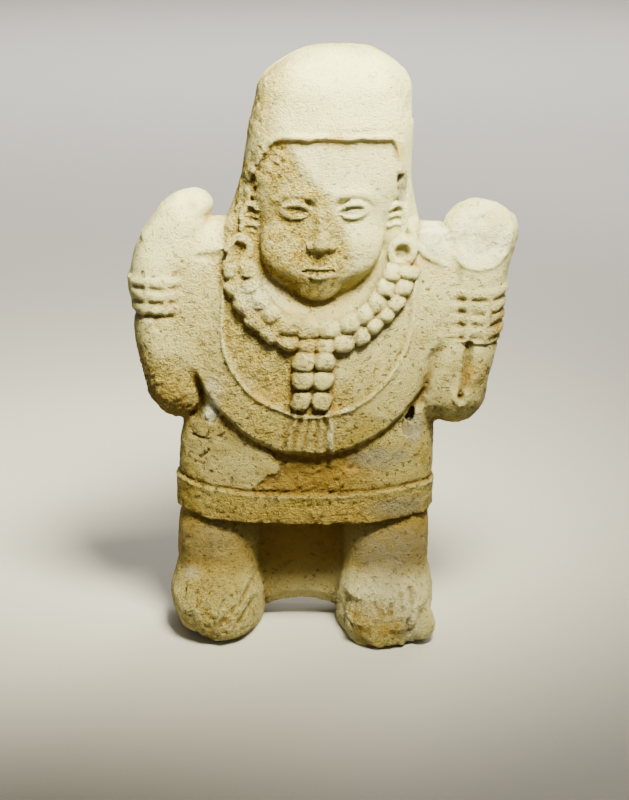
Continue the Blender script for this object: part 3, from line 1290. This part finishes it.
class Wiring:
    """Short ways to add and link the nodes of one material."""

    def __init__(self, material: bpy.types.Material) -> None:
        """Starts from the material's empty node tree."""
        self.tree = material.node_tree
        self.nodes = self.tree.nodes
        self.nodes.clear()
        self.place = self.nodes.new("ShaderNodeTexCoord").outputs["Object"]

    def join(self, value: object, socket: Socket) -> None:
        """Links a socket to another, or sets it to a number or a colour."""
        if isinstance(value, Socket):
            self.tree.links.new(value, socket)
        else:
            socket.default_value = value

    def math(self, kind: str, *values: object, clamp: bool = False) -> Socket:
        """What a kind of reckoning makes of two or three values."""
        node = self.nodes.new("ShaderNodeMath")
        node.operation = kind
        node.use_clamp = clamp
        for value, socket in zip(values, node.inputs):
            self.join(value, socket)
        return node.outputs[0]

    def plus(self, a: object, b: object, clamp: bool = False) -> Socket:
        """Two values added."""
        return self.math("ADD", a, b, clamp=clamp)

    def times(self, a: object, b: object, clamp: bool = False) -> Socket:
        """Two values multiplied."""
        return self.math("MULTIPLY", a, b, clamp=clamp)

    def line(self, value: object, slope: float, start: object) -> Socket:
        """A value times a slope, added to where it starts."""
        return self.math("MULTIPLY_ADD", value, slope, start)

    def axis(self, name: str) -> Socket:
        """The place along one axis, in metres."""
        node = self.nodes.new("ShaderNodeSeparateXYZ")
        self.join(self.place, node.inputs[0])
        return node.outputs[name]

    def mix(self, share: object, a: object, b: object) -> Socket:
        """Two colours mixed by a share."""
        node = self.nodes.new("ShaderNodeMix")
        node.data_type = "RGBA"
        self.join(share, node.inputs["Factor"])
        self.join(a, node.inputs[6])
        self.join(b, node.inputs[7])
        return node.outputs[2]

    def noise(self, length: float, detail: float, rough: float, shift: float, flat: float = 1.0) -> Socket:
        """Noise whose lumps are length millimetres apart, and flatter than wide by flat."""
        node = self.nodes.new("ShaderNodeTexNoise")
        node.noise_dimensions = "4D"
        settings = {"W": shift, "Scale": 1.0 / (length * MM), "Detail": detail, "Roughness": rough}
        for name, setting in settings.items():
            node.inputs[name].default_value = setting
        stretch = self.nodes.new("ShaderNodeMapping")
        stretch.inputs["Scale"].default_value = (1.0, 1.0, flat)
        self.join(self.place, stretch.inputs["Vector"])
        self.join(stretch.outputs[0], node.inputs["Vector"])
        return node.outputs["Fac"]

    def grains(self, length: float) -> Socket:
        """Rounded grains, length millimetres apart, 1 on top of each and lower between them."""
        node = self.nodes.new("ShaderNodeTexVoronoi")
        node.inputs["Scale"].default_value = 1.0 / (length * MM)
        self.join(self.place, node.inputs["Vector"])
        return self.steps(node.outputs["Distance"], 0.0, 0.85, 1.0, 0.0)

    def steps(self, value: object, start: float, end: float, low: float = 0.0, high: float = 1.0) -> Socket:
        """A smooth step from low to high as a value goes from start to end."""
        node = self.nodes.new("ShaderNodeMapRange")
        node.interpolation_type = "SMOOTHSTEP"
        self.join(value, node.inputs["Value"])
        for name, setting in zip(("From Min", "From Max", "To Min", "To Max"), (start, end, low, high)):
            node.inputs[name].default_value = setting
        return node.outputs["Result"]

    def patina(self, kind: Patina) -> Socket:
        """A kind of weathering, read from the mesh."""
        node = self.nodes.new("ShaderNodeAttribute")
        node.attribute_name = kind.value
        return node.outputs["Fac"]


@dataclass(frozen=True)
class ClayFinish:
    """Low-fired clay under a worn cream slip, with crust, pits, stains and pale deposits."""

    cream: Colour = (0.83, 0.80, 0.41, 1.0)
    buff: Colour = (0.28, 0.205, 0.026, 1.0)
    ochre: Colour = (0.25, 0.155, 0.017, 1.0)
    crust: Colour = (0.55, 0.40, 0.065, 1.0)
    crust_dark: Colour = (0.15, 0.09, 0.008, 1.0)
    dirt: Colour = (0.21, 0.12, 0.014, 1.0)
    deposit: Colour = (0.86, 0.85, 0.58, 1.0)
    stain: Colour = (0.55, 0.32, 0.04, 1.0)
    grey: Colour = (0.23, 0.21, 0.14, 1.0)
    hole: Colour = (0.10, 0.06, 0.015, 1.0)
    roughness: float = 0.92
    shine: float = 0.2
    bump_height: float = 1.1

    def material(self) -> bpy.types.Material:
        """The finish as a material."""
        material = bpy.data.materials.new("worn_fired_clay")
        material.use_nodes = True
        w = Wiring(material)
        shader = w.nodes.new("ShaderNodeBsdfPrincipled")
        out = w.nodes.new("ShaderNodeOutputMaterial")
        w.join(shader.outputs[0], out.inputs["Surface"])
        grain = w.noise(0.45, 3.0, 0.75, 21.0)
        crumbs = w.noise(1.3, 5.0, 0.75, 11.0, 1.2)
        low = self.lowness(w)
        w.join(self.colour(w, grain, crumbs, low), shader.inputs["Base Color"])
        w.join(self.roughness, shader.inputs["Roughness"])
        w.join(self.shine, shader.inputs["Specular IOR Level"])
        w.join(self.surface(w, grain, crumbs, low), shader.inputs["Normal"])
        return material

    def lowness(self, w: Wiring) -> Socket:
        """How far down the figure a place is, from 0 to 1, and less again on the feet."""
        low = w.steps(w.axis("Z"), 162 * MM, 42 * MM)
        return w.times(low, w.steps(w.axis("Z"), 24 * MM, 9 * MM, 1.0, 0.4))

    def specks(self, w: Wiring) -> Socket:
        """The noise that small dark specks are taken from, where it is lowest."""
        return w.noise(1.5, 3.0, 0.6, 31.0, 1.1)

    def colour(self, w: Wiring, grain: Socket, crumbs: Socket, low: Socket) -> Socket:
        """The colour at each place: the slip, with what lies on it laid over it in turn."""
        patchy = w.noise(15.0, 4.0, 0.6, 2.0)
        mottle = w.noise(4.0, 6.0, 0.7, 5.0)
        tone = w.plus(w.times(low, 0.9), w.steps(patchy, 0.42, 0.66, -0.08, 0.14), clamp=True)
        bared = w.mix(w.steps(crumbs, 0.42, 0.55), self.dirt, self.ochre)
        crust = w.mix(w.steps(crumbs, 0.42, 0.52), self.crust_dark, self.crust)
        speckled = w.times(w.steps(self.specks(w), 0.43, 0.37), w.line(tone, 0.75, 0.12))
        layers = (
            (w.times(w.steps(mottle, 0.5, 0.68), w.line(tone, 0.14, 0.06)), self.ochre),
            (w.times(w.patina(Patina.BARE), 0.9), bared),
            (w.times(w.patina(Patina.CRUST), w.steps(mottle, 0.35, 0.6, 0.55, 0.95)), crust),
            (w.times(w.steps(grain, 0.49, 0.37), w.line(tone, 0.62, 0.22)), self.dirt),
            (w.times(speckled, w.steps(w.axis("Y"), -2 * MM, 10 * MM, 1.0, 0.3)), self.hole),
            (w.times(w.patina(Patina.WORN), w.line(low, -0.36, 0.42)), self.cream),
            (w.times(w.patina(Patina.DEPOSIT), w.steps(crumbs, 0.36, 0.5, 0.3, 0.95)), self.deposit),
            (w.times(w.patina(Patina.DIRT), w.line(low, 0.54, 0.3), clamp=True), self.dirt),
            (w.times(w.patina(Patina.STAIN), w.steps(mottle, 0.35, 0.6, 0.25, 0.8)), self.stain),
            (w.times(w.patina(Patina.GREY), w.steps(mottle, 0.36, 0.6, 0.5, 0.9)), self.grey),
            (w.steps(w.patina(Patina.PIT), 0.1, 0.7, 0.0, 0.8), self.hole),
        )
        colour = w.mix(tone, self.cream, self.buff)
        for share, over in layers:
            colour = w.mix(share, colour, over)
        return colour

    def comb_lines(self, w: Wiring) -> Socket:
        """The faint upright lines on the right flank of the head-cloth, finer than the mesh can carry."""
        flank = w.times(w.steps(w.axis("X"), 18 * MM, 24 * MM), w.steps(w.axis("Z"), 132 * MM, 142 * MM))
        return w.times(flank, w.noise(0.9, 2.0, 0.5, 41.0, 0.04))

    def surface(self, w: Wiring, grain: Socket, crumbs: Socket, low: Socket) -> Socket:
        """The fine grain of the surface, stronger in the crust and low down."""
        crust = w.patina(Patina.CRUST)
        rough = w.times(crumbs, w.line(crust, 2.7, w.line(low, 0.5, 0.4)))
        specks = w.times(w.steps(self.specks(w), 0.34, 0.42, -1.0, 0.0), w.line(low, 0.7, 0.3))
        sand = w.times(w.grains(0.9), w.line(crust, 0.7, w.line(low, 0.15, 0.02)))
        height = w.plus(w.plus(grain, specks), w.plus(rough, sand))
        height = w.plus(height, w.times(self.comb_lines(w), 0.5))
        bump = w.nodes.new("ShaderNodeBump")
        bump.inputs["Strength"].default_value = 1.0
        bump.inputs["Distance"].default_value = self.bump_height * MM
        w.join(height, bump.inputs["Height"])
        return bump.outputs[0]


@dataclass(frozen=True)
class FloorFinish:
    """A pale, nearly matte floor."""

    colour: Colour = (0.52, 0.50, 0.465, 1.0)
    roughness: float = 0.75
    shine: float = 0.2

    def material(self) -> bpy.types.Material:
        """The finish as a material."""
        material = bpy.data.materials.new("pale_floor")
        material.use_nodes = True
        shader = material.node_tree.nodes["Principled BSDF"]
        settings = {"Base Color": self.colour, "Roughness": self.roughness, "Specular IOR Level": self.shine}
        for name, setting in settings.items():
            shader.inputs[name].default_value = setting
        return material


@dataclass
class Figure:
    """The whole figure, one piece of clay."""

    step: float
    most: int

    def build(self) -> bpy.types.Object:
        """Carves the figure, weathers it and takes off its skin.

        Returns:
            The figure as one dressed mesh, riding on the root body.
        """
        grain = Grain(GRAIN_SEED)
        weathering = Weathering(grain)
        clay = Clay.empty(self.step, *BLOCK_CORNERS)
        for name, part in (("robe", Robe()), ("arms", Arms()), ("head", Head()), ("legs", Legs())):
            part.build(clay, grain)
            log.info("%s shaped", name)
        self.cut_vents(clay)
        self.draw_joins(clay, grain)
        clay.field[...] = np.maximum(clay.field, -clay.z)
        self.weather(clay, weathering)
        skin = Skin(clay, self.most)
        skin.keep_largest()
        places = skin.places()
        found = weathering.patinas(places)
        found[Patina.DIRT], found[Patina.WORN] = self.hollows(clay, places)
        skin.paint(found)
        skin.settle(places, *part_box(NODE))
        piece = skin.piece
        piece.data.materials.append(ClayFinish().material())
        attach(piece, "root")
        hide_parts(NODE)
        log.info("figure dressed with %d triangles", len(piece.data.polygons))
        return piece

    def cut_vents(self, clay: Clay) -> None:
        """The two vents in the robe under the arms, one open and one choked."""
        robe = Robe().column()
        # The open one, in a shallow dish with a pad of clay below its hole.
        dish = (31.9, robe.front(31.9, 68.0), 68.0)
        clay.take(Lump((dish[0], dish[1] - 0.3, dish[2]), (3.4, 1.7, 4.2)), 0.6)
        clay.add(Lump((dish[0] + 0.4, dish[1] + 2.0, dish[2] - 0.6), (2.3, 1.4, 2.6)), 0.6)
        clay.take(Rod(((31.2, dish[1] - 2.0, 70.7), (30.9, -7.0, 70.0)), (1.45, 1.2)), 0.3)
        # The choked one.
        plug = (-30.8, robe.front(-30.8, 72.8), 72.8)
        clay.take(Lump((plug[0], plug[1] - 0.5, plug[2]), (2.8, 1.9, 4.1)), 0.6)
        clay.add(Lump((plug[0] + 0.3, plug[1] + 1.3, plug[2] - 0.6), (2.0, 1.8, 2.9)), 0.8)

    def draw_joins(self, clay: Clay, grain: Grain) -> None:
        """The ridge and crease on the shoulders, the grooves by the arms and the lines below the cuff."""
        ridge = [(26.5, -11.3, 131.0), (27.6, -11.7, 128.6), (29.4, -12.0, 125.1)]
        ridge += [(32.5, -12.2, 121.6), (38.0, -12.2, 119.0)]
        clay.add(Rod.along(ridge, [0.4, 0.6, 0.7, 0.6, 0.3], 12), 1.6)
        # Between each arm and the robe, on the left shoulder, below the right cuff and across its inner end.
        lines = (
            (((41.0, 97.0), (38.0, 90.0), (36.2, 84.0), (34.6, 78.0), (31.8, 73.6)), 3.6, 2.0, 7.0),
            (((-38.4, 87.0), (-36.6, 83.0), (-34.6, 78.4), (-34.0, 74.5), (-35.6, 71.0)), 2.6, 2.0, 7.0),
            (((-36.8, 121.6), (-34.2, 121.0), (-32.0, 121.2), (-29.1, 122.6)), 1.9, 0.9, 0.5),
            (((47.7, 95.0), (47.8, 90.0), (47.4, 85.1), (46.6, 80.6)), 2.1, 2.3, 1.0),
            *((((41.2, row), (45.4, row)), 1.15, 0.4, 0.8) for row in Arms().right_slot_rows),
        )
        for points, width, depth, fade in lines:
            across, up = zip(*points)
            part = clay.near((min(across) - 5, -22, min(up) - 5), (max(across) + 5, 0, max(up) + 5))
            x, z = hand_drawn(part, grain, 0.5, 4.0)
            depths = depth * ramp(z, max(up) + 1.0, max(up) + 1.0 - fade)
            part.emboss(-depths * ramp(line_distance(x, z, list(points)), width, 0.1), 0.0, -6.0)
        # The hole at the lower end of the fold below the right cuff.
        clay.take(Rod(((46.4, -18.5, 79.6), (46.0, -12.8, 77.6)), (0.85, 0.6)), 0.3)

    def weather(self, clay: Clay, weathering: Weathering) -> None:
        """Roughens the clay near its surface."""
        flat = np.flatnonzero(np.abs(clay.field) < WEATHERED_DEPTH)
        index = np.stack(np.unravel_index(flat, clay.field.shape), axis=1)
        places = ((index + clay.start) * self.step).astype(np.float32)
        rise = weathering.rise(places, weathering.patinas(places))
        rise *= ramp(places[:, 2], 0.2, 2.5)
        clay.field.ravel()[flat] -= rise
        log.info("%d samples weathered", len(flat))

    def hollows(self, clay: Clay, places: Array) -> tuple[Array, Array]:
        """How deep in a hollow each place is, which is where dirt stays, and how far out on an edge."""
        x, y, z = places.T
        wide = clay.softened(3.2).read(places)
        tight = clay.softened(1.4).read(places)
        depth = ramp(-wide, 0.12, 0.8) * 0.75 + ramp(-tight, 0.04, 0.3) * 0.5
        edge = ramp(wide, 0.12, 0.7) * 0.7 + ramp(tight, 0.05, 0.3) * 0.4
        # The web, the legs under the hem and the left elbow are dirty as a whole.
        web = ramp(y, -9.0, -5.0) * ramp(y, 8.0, 4.0) * ramp(np.abs(x - WEB_MIDDLE), 17.5, 14.5)
        depth = np.maximum(depth, 1.1 * web * ramp(z, 40.0, 36.0) * ramp(z, 2.0, 12.0))
        legs = ramp(z, 43.0, 38.0) * ramp(z, 14.0, 24.0)
        elbow = ramp(np.hypot((x + 47.0) / 11.0, (z - 73.0) / 10.0), 1.3, 0.6) * ramp(y, 6.0, -2.0)
        depth = np.maximum(depth, 0.55 * legs + 0.8 * elbow)
        # The face is cleaner, and the throat under the chin holds the most dirt.
        face = ramp(np.hypot(x / 20.0, (z - FACE_HEIGHT) / 21.0), 1.0, 0.8) * ramp(y, -15.0, -18.0)
        under_chin = np.maximum(ramp(y, -17.0, -15.0), ramp(z, 107.0, 105.5))
        throat = ramp(np.hypot(x, z - 117.0), 19.5, 11.0) * under_chin * ramp(y, 0.0, -5.0)
        depth = np.maximum(depth * (1 - 0.85 * face), 0.9 * throat)
        return depth * ramp(z, 0.0, 4.0), edge


@dataclass(frozen=True)
class SoftLight:
    """A soft square light: its place and width in metres, its power in watts and its spread in degrees."""

    name: str
    place: Point
    size: float
    power: float
    colour: Point
    target: Point = (0.0, 0.0, 0.1)
    spread: float = 180.0

    def hang(self) -> None:
        """Adds the light to the scene, turned to its target."""
        light = bpy.data.lights.new(self.name, "AREA")
        light.shape = "SQUARE"
        light.size = self.size
        light.energy = self.power
        light.color = self.colour
        light.spread = math.radians(self.spread)
        lamp = add_object(self.name, light)
        lamp.location = self.place
        lamp.rotation_euler = (Vector(self.target) - Vector(self.place)).to_track_quat("-Z", "Y").to_euler()


@dataclass
class Studio:
    """A plain pale floor, soft lights and the camera."""

    floor_size: float = 9.0
    sky: Colour = (1.0, 0.965, 0.87, 1.0)
    sky_strength: float = 0.2
    camera: Point = (-2.594, -636.021, 251.4)
    pitch: float = 15.57
    focal_pixels: float = 2103.0
    picture_height: float = 800.0
    sensor: float = 36.0
    lights: tuple[SoftLight, ...] = (
        SoftLight("key", (0.07, -0.20, 0.43), 0.14, 1.56, (1.0, 0.965, 0.70), (0.0, -0.02, 0.23), 56.0),
        SoftLight("fill", (-0.7, -0.8, 0.40), 0.7, 0.12, (1.0, 0.93, 0.68)),
        SoftLight("back_fill", (0.5, 1.0, 0.55), 0.7, 1.6, (1.0, 0.95, 0.82), (0.0, 0.0, 0.09), 60.0),
        SoftLight("floor_light", (0.0, 1.35, 1.6), 1.8, 26.0, (1.0, 0.97, 0.92), (0.0, 1.6, 0.0), 80.0),
    )

    def build(self) -> None:
        """Sets the floor, the lights, the pale surround and the camera."""
        self.lay_floor()
        for light in self.lights:
            light.hang()
        self.open_sky()
        self.set_camera()

    def lay_floor(self) -> None:
        """The pale floor that the figure stands on."""
        half = self.floor_size / 2
        mesh = bpy.data.meshes.new("floor")
        corners = [(-half, -half, 0), (half, -half, 0), (half, half, 0), (-half, half, 0)]
        mesh.from_pydata(corners, [], [(0, 1, 2, 3)])
        mesh.materials.append(FloorFinish().material())
        floor = add_object("floor", mesh)

    def open_sky(self) -> None:
        """A pale, weak surround."""
        world = bpy.data.worlds.new("pale_surround")
        world.use_nodes = True
        sky = world.node_tree.nodes["Background"]
        sky.inputs["Color"].default_value = self.sky
        sky.inputs["Strength"].default_value = self.sky_strength
        bpy.context.scene.world = world

    def set_camera(self) -> None:
        """The camera at the height and angle that the figure is seen from."""
        camera = bpy.data.cameras.new("camera")
        camera.sensor_width = self.sensor
        camera.lens = self.focal_pixels * self.sensor / self.picture_height
        eye = add_object("camera", camera)
        eye.location = Vector(self.camera) * MM
        eye.rotation_euler = (math.radians(90.0 - self.pitch), 0.0, 0.0)
        bpy.context.scene.camera = eye


def main() -> None:
    """Builds the studio and the figure."""
    logging.basicConfig(level=logging.INFO, format="%(name)s: %(message)s")
    Studio().build()
    log.info("studio set")
    Figure(STEP, MOST_TRIANGLES).build()


if __name__ == "__main__":
    main()
